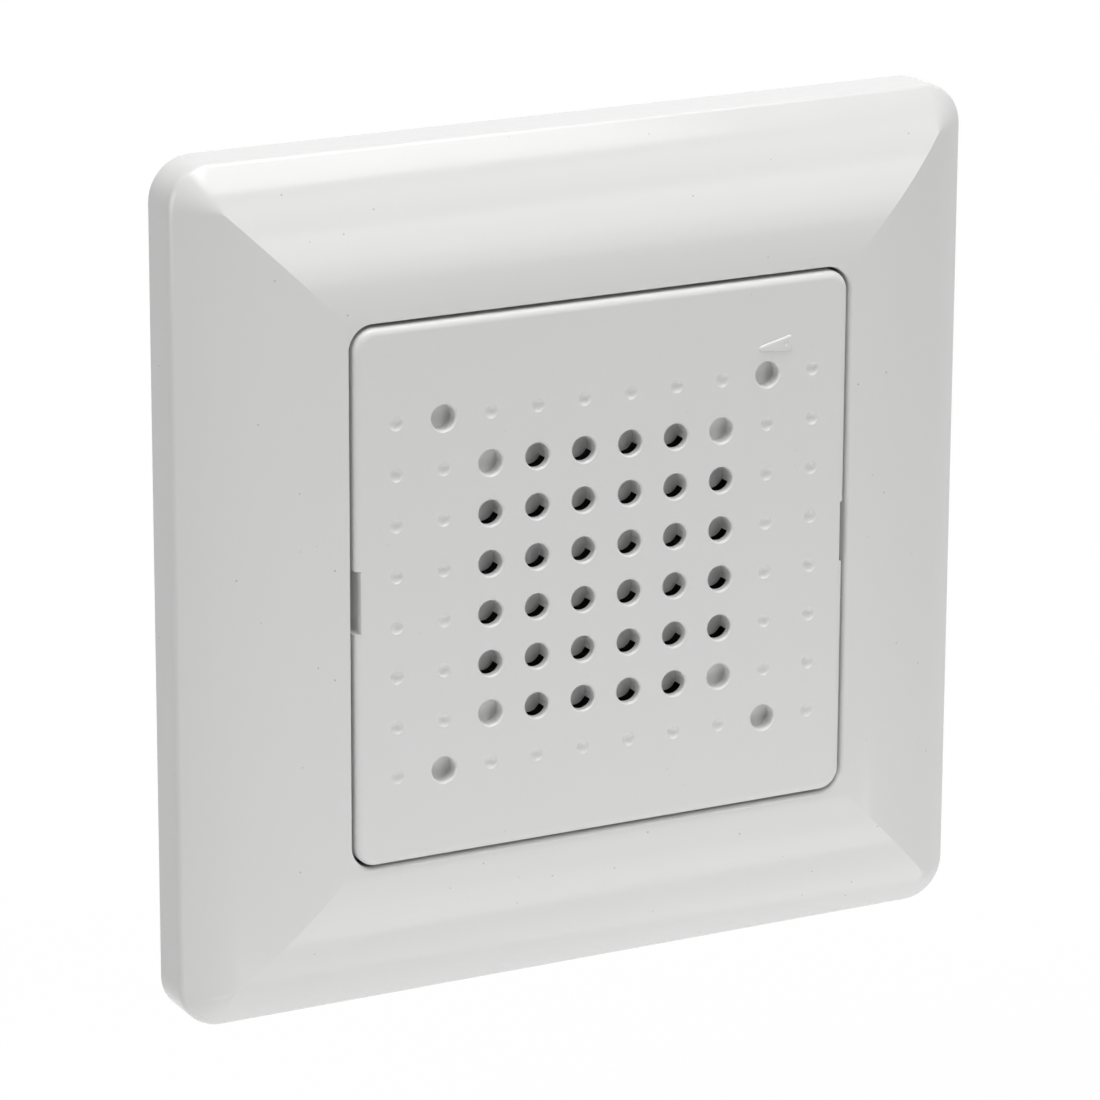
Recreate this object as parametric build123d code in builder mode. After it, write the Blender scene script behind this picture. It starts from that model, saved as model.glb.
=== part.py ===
"""Flush door chime: a cushion-shaped cover frame, a perforated centre cover and the
chime insert behind it, which a steel support ring holds on a round wall box.

X runs to the right, Z up and Y into the wall.  The wall's face is the plane Y = 0.
A height is a distance in front of the wall, so what lies in the wall box is negative.
"""
import math
import os

from build123d import *

os.makedirs("parts", exist_ok=True)

# Cover frame
frame_side = 80.0
frame_height = 9.9
frame_wall = 2.0
frame_corner_radius = 4.0
edge_round = 0.9
inner_edge_round = 0.3
side_height = 3.9
cushion_land = 0.7
opening_round = 0.4
collar_wall = 1.2
rib_wall = 1.2
rib_place = 12.0
tongue_width = 6.0
tongue_wall = 1.0
tongue_place = 20.0

# Centre cover
cover_side = 50.0
cover_corner_radius = 2.0
cover_edge_round = 0.7
cover_gap = 0.3
cover_proud = 0.3
cover_plate = 1.6
skirt_wall = 1.2
skirt_gap = 0.5
catch_length = 10.0
catch_proud = 0.15
catch_height = 2.0
pry_length = 5.9
pry_width = 0.5
pry_depth = 2.6

# Hole grid of the centre cover
grid_columns = 10
grid_rows = 8
grid_spacing_share = 0.094
grid_shift_x = 0.15
grid_shift_z = -0.35
hole_diameter = 2.4
mouth_bevel = 0.15
hole_skin = 0.8
guard_depth = 1.85
guard_cap = 0.75
guard_wall = 0.35
guard_post_width = 1.5
guard_turn = 15.0
recess_depth = 1.3
recess_wall = 0.5
dimple_diameter = 1.3
dimple_depth = 0.3

# Support ring
ring_margin = 2.5
ring_corner_radius = 6.0
ring_thickness = 1.0
ring_seat = 1.3
ring_opening_radius = 9.0
box_screw_spacing = 60.0
box_screw_diameter = 3.4
box_slot_length = 7.0

# Insert carrier and its screws
carrier_rim = 2.15
carrier_corner_radius = 4.0
carrier_base = 1.2
cup_wall = 1.0
ledge_width = 1.6
hook_width = 3.0
hook_wall = 0.8
carrier_screw_gap = 1.45
screw_diameter = 2.2
screw_head_diameter = 4.0
screw_head_height = 1.4
screw_length = 9.0
screw_recess = 0.6
screw_recess_length = 1.8

# Loudspeaker
speaker_room = 2.2
basket_wall = 0.6
basket_flange = 1.8
basket_depth = 5.9
basket_window_share = 0.7
gasket_height = 0.8
gasket_width = 1.4
magnet_diameter_share = 0.55
magnet_height = 4.0
magnet_bore = 12.0
pole_plate_height = 1.5
pole_diameter = 8.0
coil_gap = 0.45
coil_wall = 0.3
coil_length = 5.4
cone_wall = 0.4
surround_width = 3.0
surround_wall = 0.3
surround_roll = 0.9
dust_cap_diameter = 11.0
dust_cap_rise = 1.2
fit_gap = 0.05

# Rear housing
housing_margin = 0.9
housing_corner_share = 0.27
housing_wall = 1.5
housing_room = 9.4
post_diameter = 4.6
post_foot_diameter = 6.6
vent_width = 1.2
vent_length = 12.0
vent_spacing = 2.6
vent_count = 5

# Circuit board and what is soldered to it
board_gap = 1.2
board_corner_share = 0.21
board_thickness = 1.6
board_room = 1.5
clip_width = 4.0
clip_wall = 0.9
clip_reach = 0.7

trimmer_diameter = 5.5
trimmer_height = 4.5
spindle_diameter = 2.8
spindle_collar_diameter = 3.6
spindle_collar_height = 1.0
spindle_clearance = 1.4
spindle_slot_width = 0.6
spindle_slot_depth = 0.8

capacitor_diameter = 6.3
capacitor_height = 7.0
capacitor_inset = 5.5
capacitor_round = 0.4
capacitor_spacing = 8.0
diode_diameter = 2.0
diode_length = 4.0
diode_lead = 0.6
diode_spacing = 3.2
diode_count = 4
diode_inset = 5.1
resistor_diameter = 1.7
resistor_length = 3.6
resistor_spacing = 2.54
resistor_count = 6
resistor_gap = 1.5
chip_width = 6.4
chip_height = 3.3
chip_pin_spacing = 2.54
chip_pin_width = 0.5
chip_pin_reach = 0.7
amplifier_row_share = 0.25
sound_chip_pins = 7
amplifier_pins = 4

# Terminals
pole_count = 3
pole_spacing = 5.0
terminal_side = 15.0
terminal_width = 8.0
terminal_wall = 0.8
terminal_stick_out = 0.4
terminal_overhang = 2.6
cage_width = 3.4
cage_wall = 0.7
cage_height = 4.6
cage_depth = 3.2
cage_travel = 1.5
pin_thickness = 0.5
terminal_screw_diameter = 1.9
terminal_head_diameter = 3.4
terminal_head_height = 1.8
terminal_slot_width = 0.6
terminal_slot_depth = 0.8

# Loudspeaker wires
tag_board_side = 7.0
tag_board_width = 4.0
tag_board_thickness = 0.8
tag_gap = 1.0
tag_spacing = 3.6
tag_diameter = 1.2
wire_diameter = 0.8
wire_bow = 2.4

clearance = 0.3


def wall_plane(height):
    """Plane parallel to the wall; local x is X and local y is Z."""
    return Plane.XZ.offset(height)


def on_wall(x, z, height):
    """Point at a height in front of the wall."""
    return (x, -height, z)


def rounded_square(side, radius, mode=Mode.ADD):
    """Square with rounded corners, in the sketch that is open."""
    return RectangleRounded(side, side, radius, mode=mode)


# Sizes that follow from those above: the cover sets the carrier, the loudspeaker and the housing
carrier_side = cover_side - 2 * (skirt_wall + skirt_gap)
cup_outer = carrier_side / 2 - carrier_rim
cup_radius = cup_outer - cup_wall
speaker_radius = cup_radius - clearance / 2
ring_side = frame_side - 2 * (frame_wall + ring_margin)
ring_opening = carrier_side - 2 * ring_seat
housing_side = carrier_side + 2 * housing_margin
housing_corner_radius = housing_side * housing_corner_share
board_side = housing_side - 2 * (housing_wall + board_gap)
grid_spacing = cover_side * grid_spacing_share

# Heights that the pieces share
frame_half = frame_side / 2
cover_half = cover_side / 2
opening_half = cover_half + cover_gap
opening_radius = cover_corner_radius + cover_gap
collar_half = opening_half + collar_wall
cover_front = frame_height + cover_proud
cover_back = cover_front - cover_plate
skirt_end = ring_thickness + clearance
skirt_half = cover_half - skirt_wall
hole_radius = hole_diameter / 2
skin_back = cover_front - hole_skin
guard_floor = cover_front - guard_depth
guard_back = guard_floor - guard_cap

# The cushion's outline is a big arc, tangent to the front, and a small one, tangent to the side
arc_start = opening_half + cushion_land


def cushion_outline(inset, small):
    """Half outline of the cushion, drawn inwards by inset: local x outwards, local y height."""
    half = frame_half - inset
    front = frame_height - inset
    small_place = half - small
    across = small_place - arc_start
    drop = front - small - side_height
    big = small + (across ** 2 + drop ** 2) / (2 * drop)
    big_height = front - big
    slope = math.degrees(math.atan2(side_height - big_height, across))
    with BuildLine() as outline:
        Line((0, 0), (half, 0))
        Line((half, 0), (half, side_height))
        CenterArc((small_place, side_height), small, 0, slope)
        big_arc = CenterArc((arc_start, big_height), big, slope, 90 - slope)
        Line(big_arc @ 1, (0, front))
        Line((0, front), (0, 0))
    return outline.line


def cushion(inset, small):
    """Solid cushion block, mitred at its corners and turned round them outside the mitres."""
    half = frame_half - inset
    corner = frame_half - frame_corner_radius
    across = Plane(origin=(0, 0, 0), x_dir=(0, 0, 1), z_dir=(1, 0, 0))
    upright = Plane(origin=(0, 0, 0), x_dir=(1, 0, 0), z_dir=(0, 0, -1))
    corner_plane = Plane(origin=(0, 0, corner), x_dir=(1, 0, 0), z_dir=(0, 0, -1))
    corner_axis = Axis((corner, 0, corner), (0, 1, 0))
    with BuildPart() as turned_corner:
        with BuildSketch(corner_plane):
            with BuildLine():
                add(cushion_outline(inset, small))
            make_face()
            with Locations((corner, 0)):
                Rectangle(half - corner, frame_height, align=(Align.MIN, Align.MIN), mode=Mode.INTERSECT)
        revolve(axis=corner_axis, revolution_arc=-90)
    with BuildPart() as block:
        for plane, mode in ((across, Mode.ADD), (upright, Mode.INTERSECT)):
            with BuildSketch(plane) as section:
                with BuildLine():
                    add(cushion_outline(inset, small))
                make_face()
                mirror(about=Plane.YZ)
            extrude(section.sketch, amount=frame_half, both=True, mode=mode)
        for side_x in (-1, 1):
            for side_z in (-1, 1):
                with Locations(on_wall(side_x * (corner + half) / 2, side_z * (corner + half) / 2, 0)):
                    Box(half - corner, frame_height, half - corner,
                        align=(Align.CENTER, Align.MAX, Align.CENTER), mode=Mode.SUBTRACT)
        for turn in range(4):
            add(turned_corner.part.rotate(Axis.Y, 90 * turn))
    return block.part


def save(part, name):
    """Label a finished piece and write its file."""
    part.label = name
    export_step(part, f"parts/{name}.step")


def box_between(x, z, height, mode=Mode.ADD):
    """Box given by its lowest and highest X, Z and height."""
    size = [high - low for low, high in (x, height, z)]
    with Locations(on_wall(x[0], z[0], height[1])):
        return Box(*size, align=(Align.MIN, Align.MIN, Align.MIN), mode=mode)


def rod(x, z, radius, heights, mode=Mode.ADD):
    """Round rod square to the wall, between two heights."""
    with Locations(on_wall(x, z, sum(heights) / 2)):
        return Cylinder(radius, heights[1] - heights[0], rotation=(90, 0, 0), mode=mode)


def about(middle, size):
    """Lowest and highest value of a stretch round its middle."""
    return (middle - size / 2, middle + size / 2)


# Cover frame
catch_middle = (skirt_end + cover_back) / 2
tongue_row = (collar_half + ring_side / 2) / 2
tongue_places = [(side * tongue_place, end * tongue_row) for side in (-1, 1) for end in (-1, 1)]
rib_span = (collar_half - collar_wall / 2, frame_half - frame_wall / 2)

with BuildPart() as frame_ribs:
    add(cushion(frame_wall / 2, inner_edge_round))
    with BuildSketch(wall_plane(ring_thickness)):
        for turn in range(4):
            for side in (-1, 1):
                place = Vector(sum(rib_span) / 2, side * rib_place).rotate(Axis.Z, 90 * turn)
                with Locations(Location((place.X, place.Y), 90 * turn)):
                    Rectangle(rib_span[1] - rib_span[0], rib_wall)
    extrude(amount=frame_height, mode=Mode.INTERSECT)

with BuildPart() as frame_tongues:
    add(cushion(frame_wall / 2, inner_edge_round))
    with BuildSketch(wall_plane(clearance)):
        with Locations(*tongue_places):
            Rectangle(tongue_width, tongue_wall)
    extrude(amount=frame_height, mode=Mode.INTERSECT)

with BuildPart() as cover_frame:
    add(cushion(0, edge_round))
    add(cushion(frame_wall, inner_edge_round), mode=Mode.SUBTRACT)
    add(frame_ribs.part)
    add(frame_tongues.part)
    with BuildSketch(wall_plane(skirt_end)):
        rounded_square(2 * collar_half, opening_radius + collar_wall)
    extrude(amount=frame_height - frame_wall / 2 - skirt_end)
    with BuildSketch(wall_plane(0)):
        rounded_square(2 * opening_half, opening_radius)
    extrude(amount=frame_height, mode=Mode.SUBTRACT)
    front_rim = edges().filter_by_position(Axis.Y, -frame_height, -frame_height)
    fillet(front_rim.filter_by(lambda edge: edge.center().Z ** 2 + edge.center().X ** 2
                               < (arc_start + cushion_land) ** 2 * 2), opening_round)
    for side in (-1, 1):
        middle = side * (opening_half + collar_wall / 2)
        box_between(about(middle, collar_wall + opening_round), about(0, catch_length + 2 * clearance),
                    about(catch_middle, catch_height + 2 * clearance), mode=Mode.SUBTRACT)
save(cover_frame.part, "cover_frame")


# Centre cover with its guarded sound holes
def hole_place(column, row):
    """X and Z of a place in the grid."""
    x = grid_shift_x + (column - (grid_columns - 1) / 2) * grid_spacing
    z = grid_shift_z + ((grid_rows - 1) / 2 - row) * grid_spacing
    return (x, z)


def hole_kind(column, row):
    """What the grid has at a place: an open sound hole, a blind recess or a dimple."""
    from_side = min(column, grid_columns - 1 - column)
    from_end = min(row, grid_rows - 1 - row)
    if (from_side, from_end) in ((1, 0), (2, 1)):
        return "recess"
    return "open" if from_side > 1 and from_end > 0 else "dimple"


def hole_places(kind):
    """Places of all the holes of one kind."""
    places = [(column, row) for row in range(grid_rows) for column in range(grid_columns)]
    return [hole_place(*place) for place in places if hole_kind(*place) == kind]


open_places = hole_places("open")
recess_places = hole_places("recess")
dimple_places = hole_places("dimple")
guard_radius = hole_radius + guard_wall
grille_side = max(x for x, z in open_places) - min(x for x, z in open_places) + grid_spacing
recess_floor = cover_front - recess_depth
dimple_ball = (dimple_diameter ** 2 / 4 + dimple_depth ** 2) / (2 * dimple_depth)

with BuildPart() as front_cover:
    with BuildSketch(wall_plane(skirt_end)):
        rounded_square(cover_side, cover_corner_radius)
    extrude(amount=cover_front - skirt_end)
    fillet(faces().sort_by(Axis.Y)[0].edges(), cover_edge_round)
    with BuildSketch(wall_plane(skirt_end)):
        rounded_square(2 * skirt_half, cover_corner_radius - skirt_wall)
    extrude(amount=cover_back - skirt_end, mode=Mode.SUBTRACT)
    # The grille is thinner than the plate, and each open hole has a guard behind it
    with BuildSketch(wall_plane(cover_back)):
        with Locations((grid_shift_x, grid_shift_z)):
            Rectangle(grille_side, grille_side)
    extrude(amount=skin_back - cover_back, mode=Mode.SUBTRACT)
    with BuildSketch(wall_plane(guard_back)):
        with Locations(*open_places):
            Circle(guard_radius)
    extrude(amount=skin_back - guard_back)
    with BuildSketch(wall_plane(recess_floor - recess_wall)):
        with Locations(*recess_places):
            Circle(hole_radius + recess_wall)
    extrude(amount=cover_front - recess_floor)
    # Each guard is a disc on two posts, and the disc is the floor that shows through the hole
    with BuildSketch(wall_plane(guard_back)):
        with Locations(*open_places):
            Circle(guard_radius + guard_wall)
            Circle(hole_radius, mode=Mode.SUBTRACT)
            Rectangle(2 * guard_radius, guard_post_width, rotation=guard_turn, mode=Mode.SUBTRACT)
    extrude(amount=skin_back - guard_back, mode=Mode.SUBTRACT)
    with BuildSketch(wall_plane(guard_floor)):
        with Locations(*open_places):
            Circle(hole_radius)
    extrude(amount=guard_depth, mode=Mode.SUBTRACT)
    with BuildSketch(wall_plane(recess_floor)):
        with Locations(*recess_places):
            Circle(hole_radius)
    extrude(amount=recess_depth, mode=Mode.SUBTRACT)
    mouths = edges().filter_by_position(Axis.Y, -cover_front, -cover_front).filter_by(GeomType.CIRCLE)
    chamfer(mouths.filter_by(lambda edge: edge.is_closed), mouth_bevel)
    with Locations(*[on_wall(x, z, cover_front + dimple_ball - dimple_depth) for x, z in dimple_places]):
        Sphere(dimple_ball, mode=Mode.SUBTRACT)
    # A slot for a flat blade at each side, and a catch below it
    for side in (-1, 1):
        box_between(about(side * cover_half, 2 * pry_width), about(0, pry_length),
                    (cover_front - pry_depth, cover_front), mode=Mode.SUBTRACT)
        box_between(about(side * cover_half, 2 * catch_proud), about(0, catch_length),
                    about(catch_middle, catch_height))
save(front_cover.part, "front_cover")

# Support ring
with BuildPart() as support_ring:
    with BuildSketch(wall_plane(0)):
        rounded_square(ring_side, ring_corner_radius)
        rounded_square(ring_opening, ring_opening_radius, mode=Mode.SUBTRACT)
        with Locations((-box_screw_spacing / 2, 0), (box_screw_spacing / 2, 0)):
            SlotOverall(box_slot_length, box_screw_diameter, mode=Mode.SUBTRACT)
        with Locations(*tongue_places):
            Rectangle(tongue_width + 2 * clearance, tongue_wall + 2 * clearance, mode=Mode.SUBTRACT)
    extrude(amount=ring_thickness)
save(support_ring.part, "support_ring")

# Insert carrier: a base on the ring's front and a cup that holds the loudspeaker
spindle_place = hole_place(grid_columns - 2, 0)
carrier_front = ring_thickness + carrier_base
carrier_screw_place = (cup_outer + carrier_screw_gap + screw_head_diameter / 2) / math.sqrt(2)
screw_places = [(side * carrier_screw_place, end * carrier_screw_place)
                for side, end in ((-1, 1), (-1, -1), (1, -1))]
corner_places = screw_places + [(carrier_screw_place, carrier_screw_place)]
speaker_front = guard_back - speaker_room
speaker_back = speaker_front - basket_wall
gasket_front = speaker_front + gasket_height
hook_reach = cup_radius - gasket_width / 2

with BuildPart() as insert_carrier:
    with BuildSketch(wall_plane(ring_thickness)):
        rounded_square(carrier_side, carrier_corner_radius)
    extrude(amount=carrier_base)
    with BuildSketch(wall_plane(ring_thickness)):
        Circle(cup_outer)
    extrude(amount=gasket_front + clearance / 2 - ring_thickness)
    with BuildSketch(wall_plane(gasket_front + clearance / 2)):
        with PolarLocations(cup_radius, 4):
            Rectangle(2 * cup_wall + gasket_width, hook_width)
        Circle(cup_outer, mode=Mode.INTERSECT)
        Circle(hook_reach, mode=Mode.SUBTRACT)
    extrude(amount=hook_wall)
    with BuildSketch(wall_plane(speaker_back)):
        Circle(cup_radius)
    extrude(amount=gasket_front + clearance / 2 - speaker_back, mode=Mode.SUBTRACT)
    with BuildSketch(wall_plane(ring_thickness)):
        Circle(cup_radius - ledge_width)
        with Locations(*screw_places):
            Circle(screw_diameter / 2 + fit_gap)
        with Locations(spindle_place):
            Circle(spindle_diameter / 2 + clearance)
    extrude(amount=speaker_back - ring_thickness, mode=Mode.SUBTRACT)
save(insert_carrier.part, "insert_carrier")

# Carrier screws, driven from the front into the housing's posts
with BuildPart() as carrier_screws:
    for x, z in screw_places:
        with BuildSketch(wall_plane(carrier_front)):
            with Locations((x, z)):
                Circle(screw_head_diameter / 2)
        extrude(amount=screw_head_height)
        with BuildSketch(wall_plane(carrier_front)):
            with Locations((x, z)):
                Circle(screw_diameter / 2)
        extrude(amount=-screw_length)
        with BuildSketch(wall_plane(carrier_front + screw_head_height)):
            with Locations((x, z)):
                Rectangle(screw_recess_length, screw_recess)
                Rectangle(screw_recess, screw_recess_length)
        extrude(amount=-screw_recess, mode=Mode.SUBTRACT)
save(carrier_screws.part, "carrier_screws")

# Loudspeaker: everything is turned round the Y axis, so outlines are radius and height
turning_plane = Plane(origin=(0, 0, 0), x_dir=(1, 0, 0), z_dir=(0, 0, -1))
speaker_axis = Axis((0, 0, 0), (0, 1, 0))
magnet_radius = speaker_radius * magnet_diameter_share
pole_radius = pole_diameter / 2
basket_back = speaker_front - basket_depth
basket_base = basket_back + basket_wall
pole_plate_back = basket_back - pole_plate_height
magnet_back = pole_plate_back - magnet_height
yoke_back = magnet_back - pole_plate_height
coil_inner = pole_radius + coil_gap
bobbin_outer = coil_inner + coil_wall
coil_outer = bobbin_outer + coil_wall
pole_plate_bore = coil_outer + coil_gap
flange_inner = speaker_radius - basket_flange - gasket_width
basket_neck = magnet_radius + basket_wall
tag_place = magnet_radius + tag_board_width / 2 + tag_gap
tag_row = -tag_place

with BuildPart() as speaker_basket:
    with BuildSketch(turning_plane):
        with BuildLine():
            Polyline((pole_plate_bore, basket_back), (pole_plate_bore, basket_base),
                     (basket_neck - basket_wall, basket_base), (flange_inner, speaker_front),
                     (speaker_radius, speaker_front), (speaker_radius, speaker_back),
                     (flange_inner + basket_wall, speaker_back), (basket_neck, basket_back), close=True)
        make_face()
    revolve(axis=speaker_axis)
    with BuildSketch(wall_plane(basket_back)):
        with Locations((0, tag_row)):
            Rectangle(tag_board_side, 2 * (tag_place - magnet_radius) + tag_board_width / 2)
    extrude(amount=basket_wall)
    # Four windows in the cone-shaped wall
    with BuildSketch(wall_plane(basket_base)):
        with PolarLocations((basket_neck + flange_inner) / 2 + basket_wall, 4, start_angle=45):
            Rectangle((flange_inner - basket_neck) * basket_window_share, magnet_radius)
    extrude(amount=speaker_back - basket_base - basket_wall, mode=Mode.SUBTRACT)
save(speaker_basket.part, "speaker_basket")


def turned_ring(inner, outer, heights):
    """Plain ring round the speaker's axis."""
    with BuildPart() as ring:
        rod(0, 0, outer, heights)
        rod(0, 0, inner, heights, mode=Mode.SUBTRACT)
    return ring.part


with BuildPart() as speaker_gasket:
    add(turned_ring(speaker_radius - gasket_width, speaker_radius, (speaker_front, gasket_front)))
save(speaker_gasket.part, "speaker_gasket")

with BuildPart() as front_pole_plate:
    add(turned_ring(pole_plate_bore, magnet_radius - basket_wall, (pole_plate_back, basket_back)))
save(front_pole_plate.part, "front_pole_plate")

with BuildPart() as speaker_magnet:
    add(turned_ring(magnet_bore / 2, magnet_radius, (magnet_back, pole_plate_back)))
save(speaker_magnet.part, "speaker_magnet")

with BuildPart() as speaker_yoke:
    rod(0, 0, magnet_radius - basket_wall, (yoke_back, magnet_back))
    rod(0, 0, pole_radius, (magnet_back, basket_back))
save(speaker_yoke.part, "speaker_yoke")

# Moving parts of the loudspeaker
surround_edge = speaker_radius - gasket_width - 2 * fit_gap
cone_rim = surround_edge - surround_width
coil_back = pole_plate_back - pole_plate_height / 2
cone_neck_height = coil_back + coil_length - cone_wall
cone_rim_height = speaker_front - cone_wall
roll_middle = cone_rim + surround_roll + surround_wall / 2

with BuildPart() as voice_coil:
    add(turned_ring(coil_inner, bobbin_outer, (coil_back, coil_back + coil_length)))
    add(turned_ring(bobbin_outer, coil_outer, (coil_back, basket_back + coil_gap)))
save(voice_coil.part, "voice_coil")

with BuildPart() as speaker_cone:
    with BuildSketch(turning_plane):
        with BuildLine():
            Polyline((bobbin_outer, cone_neck_height), (bobbin_outer, cone_neck_height + cone_wall),
                     (cone_rim - surround_roll, speaker_front), (cone_rim, speaker_front),
                     (cone_rim, cone_rim_height), (cone_rim - surround_roll, cone_rim_height), close=True)
        make_face()
    revolve(axis=speaker_axis)
save(speaker_cone.part, "speaker_cone")

with BuildPart() as cone_surround:
    with BuildSketch(turning_plane):
        roll_outer = surround_roll + surround_wall / 2
        roll_inner = surround_roll - surround_wall / 2
        top = speaker_front + surround_wall
        with BuildLine():
            Line((cone_rim - surround_roll, speaker_front), (cone_rim - surround_roll, top))
            Line((cone_rim - surround_roll, top), (roll_middle - roll_outer, top))
            CenterArc((roll_middle, top), roll_outer, 180, -180)
            Line((roll_middle + roll_outer, top), (surround_edge, top))
            Line((surround_edge, top), (surround_edge, speaker_front))
            Line((surround_edge, speaker_front), (roll_middle + roll_inner, speaker_front))
            Line((roll_middle + roll_inner, speaker_front), (roll_middle + roll_inner, top))
            CenterArc((roll_middle, top), roll_inner, 0, 180)
            Line((roll_middle - roll_inner, top), (roll_middle - roll_inner, speaker_front))
            Line((roll_middle - roll_inner, speaker_front), (cone_rim - surround_roll, speaker_front))
        make_face()
    revolve(axis=speaker_axis)
save(cone_surround.part, "cone_surround")

cap_radius = dust_cap_diameter / 2
cap_slope_share = (speaker_front - cone_neck_height - cone_wall) / (cone_rim - surround_roll - bobbin_outer)
cap_seat = cone_neck_height + cone_wall + (cap_radius - bobbin_outer) * cap_slope_share
cap_ball = (cap_radius ** 2 + dust_cap_rise ** 2) / (2 * dust_cap_rise)
cap_middle = cap_seat + dust_cap_rise - cap_ball

with BuildPart() as dust_cap:
    with BuildSketch(turning_plane):
        with Locations((0, cap_middle)):
            Circle(cap_ball)
            Circle(cap_ball - surround_wall, mode=Mode.SUBTRACT)
        with Locations((0, cap_seat)):
            Rectangle(cap_ball, 2 * cap_ball, align=(Align.MIN, Align.MIN), mode=Mode.INTERSECT)
    revolve(axis=speaker_axis)
save(dust_cap.part, "dust_cap")

# Rear housing, which sits in the wall box behind the ring
board_front = yoke_back - board_room
board_back = board_front - board_thickness
housing_floor = board_back - housing_room
housing_back = housing_floor - housing_wall
housing_half = housing_side / 2
board_half = board_side / 2
post_radius = post_diameter / 2
foot_radius = post_foot_diameter / 2
terminal_back = housing_back - terminal_stick_out
terminal_low = -(board_half + terminal_overhang)
terminal_high = terminal_low + terminal_width
clip_seat = housing_half - housing_wall
vent_row = clip_seat / 2

with BuildPart() as rear_housing:
    with BuildSketch(wall_plane(housing_back)):
        rounded_square(housing_side, housing_corner_radius)
    extrude(amount=-housing_back)
    with BuildSketch(wall_plane(housing_floor)):
        rounded_square(housing_side - 2 * housing_wall, housing_corner_radius - housing_wall)
    extrude(amount=-housing_floor, mode=Mode.SUBTRACT)
    # Four feet carry the board, and three of them go on as posts for the carrier's screws
    with BuildSketch(wall_plane(housing_floor - housing_wall / 2)):
        rounded_square(housing_side - housing_wall, housing_corner_radius - housing_wall / 2)
        with Locations(*corner_places):
            Circle(foot_radius, mode=Mode.INTERSECT)
    extrude(amount=board_back - housing_floor + housing_wall / 2)
    with BuildSketch(wall_plane(housing_floor)):
        with Locations(*screw_places):
            Circle(post_radius)
    extrude(amount=ring_thickness - housing_floor)
    with BuildSketch(wall_plane(ring_thickness)):
        with Locations(*screw_places):
            Circle(screw_diameter / 2)
    extrude(amount=-screw_length, mode=Mode.SUBTRACT)
    for side in (-1, 1):
        wall = side * clip_seat
        nose = side * (board_half - clip_reach)
        box_between((min(wall, nose), max(wall, nose)), about(0, clip_width),
                    (board_front, board_front + clip_wall))
    with BuildSketch(wall_plane(housing_back)):
        with Locations((0, vent_row)):
            with GridLocations(0, vent_spacing, 1, vent_count):
                SlotOverall(vent_length, vent_width)
    extrude(amount=housing_wall, mode=Mode.SUBTRACT)
    box_between(about(0, terminal_side + 2 * clearance), (-housing_half, terminal_high + clearance),
                (housing_back, board_back + clearance), mode=Mode.SUBTRACT)
save(rear_housing.part, "rear_housing")

# Places of the terminals, whose pins go through the board
terminal_front = board_back
pole_places = [(number - (pole_count - 1) / 2) * pole_spacing for number in range(pole_count)]
cage_gap = clearance / 2
cage_low = terminal_low + terminal_wall + cage_gap
cage_high = cage_low + cage_depth
screw_row = (cage_low + cage_high) / 2
head_back = terminal_back + clearance
head_front = head_back + terminal_head_height
cavity_back = head_front + terminal_wall
cage_back = cavity_back + cage_gap + cage_travel
cage_front = cage_back + cage_height
pin_back = cage_back + cage_wall + cage_gap
pin_front = pin_back + pin_thickness
pin_width = cage_width - 2 * cage_wall - 2 * cage_gap
pin_end = terminal_high - terminal_wall


# Circuit board, notched round the posts
with BuildPart() as circuit_board:
    with BuildSketch(wall_plane(board_back)):
        rounded_square(board_side, board_side * board_corner_share)
        with Locations(*screw_places):
            Circle(post_radius + clearance, mode=Mode.SUBTRACT)
        with Locations(*[(pole, pin_end + pin_thickness / 2) for pole in pole_places]):
            Rectangle(pin_width + 2 * fit_gap, pin_thickness + 2 * fit_gap, mode=Mode.SUBTRACT)
    extrude(amount=board_thickness)
save(circuit_board.part, "circuit_board")

# Volume trimmer: its body on the board, its spindle reaching up behind the marked recess
trimmer_front = board_front + trimmer_height
spindle_radius = spindle_diameter / 2
spindle_front = recess_floor - recess_wall - spindle_clearance
spindle_x, spindle_z = spindle_place

with BuildPart() as trimmer_body:
    with BuildSketch(wall_plane(board_front)):
        with Locations(spindle_place):
            Circle(trimmer_diameter / 2)
    extrude(amount=trimmer_height)
    with BuildSketch(wall_plane(trimmer_front)):
        with Locations(spindle_place):
            Circle(spindle_collar_diameter / 2 + fit_gap)
    extrude(amount=-spindle_collar_height, mode=Mode.SUBTRACT)
save(trimmer_body.part, "trimmer_body")

with BuildPart() as volume_spindle:
    with BuildSketch(wall_plane(trimmer_front - spindle_collar_height + fit_gap)):
        with Locations(spindle_place):
            Circle(spindle_collar_diameter / 2)
    extrude(amount=spindle_collar_height)
    with BuildSketch(wall_plane(trimmer_front)):
        with Locations(spindle_place):
            Circle(spindle_radius)
    extrude(amount=spindle_front - trimmer_front)
    box_between(about(spindle_x, spindle_diameter), about(spindle_z, spindle_slot_width),
                (spindle_front - spindle_slot_depth, spindle_front), mode=Mode.SUBTRACT)
save(volume_spindle.part, "volume_spindle")


# Parts soldered to the front of the board
def lying_rod(x, z, height, radius, length):
    """Round rod along X, round its middle."""
    with Locations(on_wall(x, z, height)):
        return Cylinder(radius, length, rotation=(0, 90, 0))


with BuildPart() as electrolytic_capacitors:
    with BuildSketch(wall_plane(board_front)):
        with Locations((capacitor_inset - board_half, 0)):
            with GridLocations(0, capacitor_spacing, 1, 2):
                Circle(capacitor_diameter / 2)
    extrude(amount=capacitor_height)
    fillet(faces().sort_by(Axis.Y)[0:2].edges(), capacitor_round)
save(electrolytic_capacitors.part, "electrolytic_capacitors")


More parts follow.
